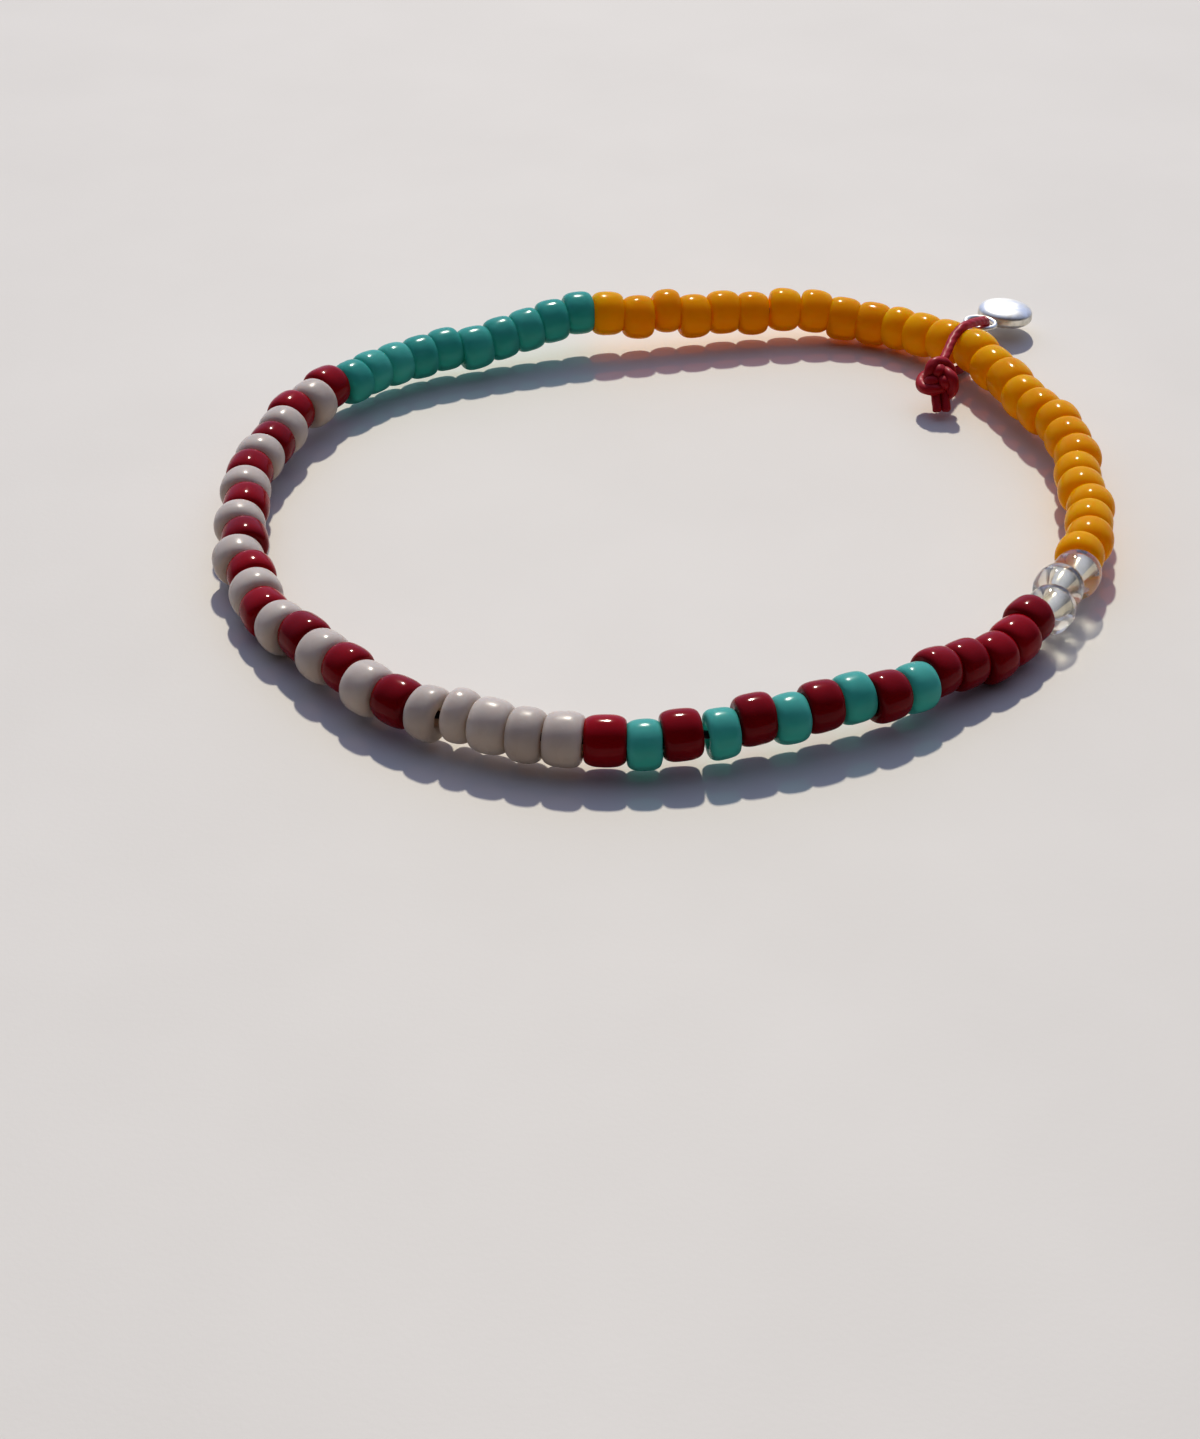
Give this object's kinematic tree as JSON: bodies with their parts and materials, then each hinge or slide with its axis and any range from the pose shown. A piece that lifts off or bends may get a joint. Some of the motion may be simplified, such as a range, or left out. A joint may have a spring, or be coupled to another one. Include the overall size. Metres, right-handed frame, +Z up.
{
  "type": "beaded bracelet",
  "caption": "Stretch bracelet of drilled glass seed beads on an elastic cord, with a small silver disc charm tied on by a knotted cord, lying open on a surface.",
  "frame": {"origin": "middle of the underside of the whole part's box, on the surface that the bracelet lies on", "axes": "+Z up from the surface, -Y towards the side with the white beads and the red and teal pairs, +X towards the amber beads"},
  "size_m": [0.0594, 0.061, 0.0047],
  "materials": {
    "white_glass": "opaque chalk-white glass, fire polished",
    "red_glass": "opaque dark red glass, fire polished",
    "teal_glass": "opaque blue-green glass, fire polished",
    "crystal_glass": "clear glass with a silvered hole",
    "amber_glass": "cloudy amber glass, fire polished",
    "elastic": "black, matt",
    "waxed_cord": "dark red twisted thread, waxed",
    "silver": "polished silver"
  },
  "bodies": {
    "root": {"red_bead_01": "red_glass", "teal_bead_01": "teal_glass", "red_bead_02": "red_glass", "teal_bead_02": "teal_glass", "red_bead_03": "red_glass", "teal_bead_03": "teal_glass", "red_bead_04": "red_glass", "teal_bead_04": "teal_glass", "red_bead_05": "red_glass", "teal_bead_05": "teal_glass", "crystal_bead_01": "crystal_glass", "crystal_bead_02": "crystal_glass", "crystal_bead_03": "crystal_glass", "red_bead_06": "red_glass", "white_bead_01": "white_glass", "red_bead_07": "red_glass", "white_bead_02": "white_glass", "red_bead_08": "red_glass", "white_bead_03": "white_glass", "red_bead_09": "red_glass", "white_bead_04": "white_glass", "red_bead_10": "red_glass", "white_bead_05": "white_glass", "red_bead_11": "red_glass", "white_bead_06": "white_glass", "red_bead_12": "red_glass", "white_bead_07": "white_glass", "red_bead_13": "red_glass", "white_bead_08": "white_glass", "red_bead_14": "red_glass", "white_bead_09": "white_glass", "red_bead_15": "red_glass", "white_bead_10": "white_glass", "red_bead_16": "red_glass", "white_beads": "white_glass", "red_beads": "red_glass", "amber_beads_right": "amber_glass", "amber_beads_left": "amber_glass", "teal_beads": "teal_glass", "elastic_cord": "elastic", "tie_cord": "waxed_cord", "tie_knot": "waxed_cord", "silver_charm": "silver"}
  },
  "joints": []
}
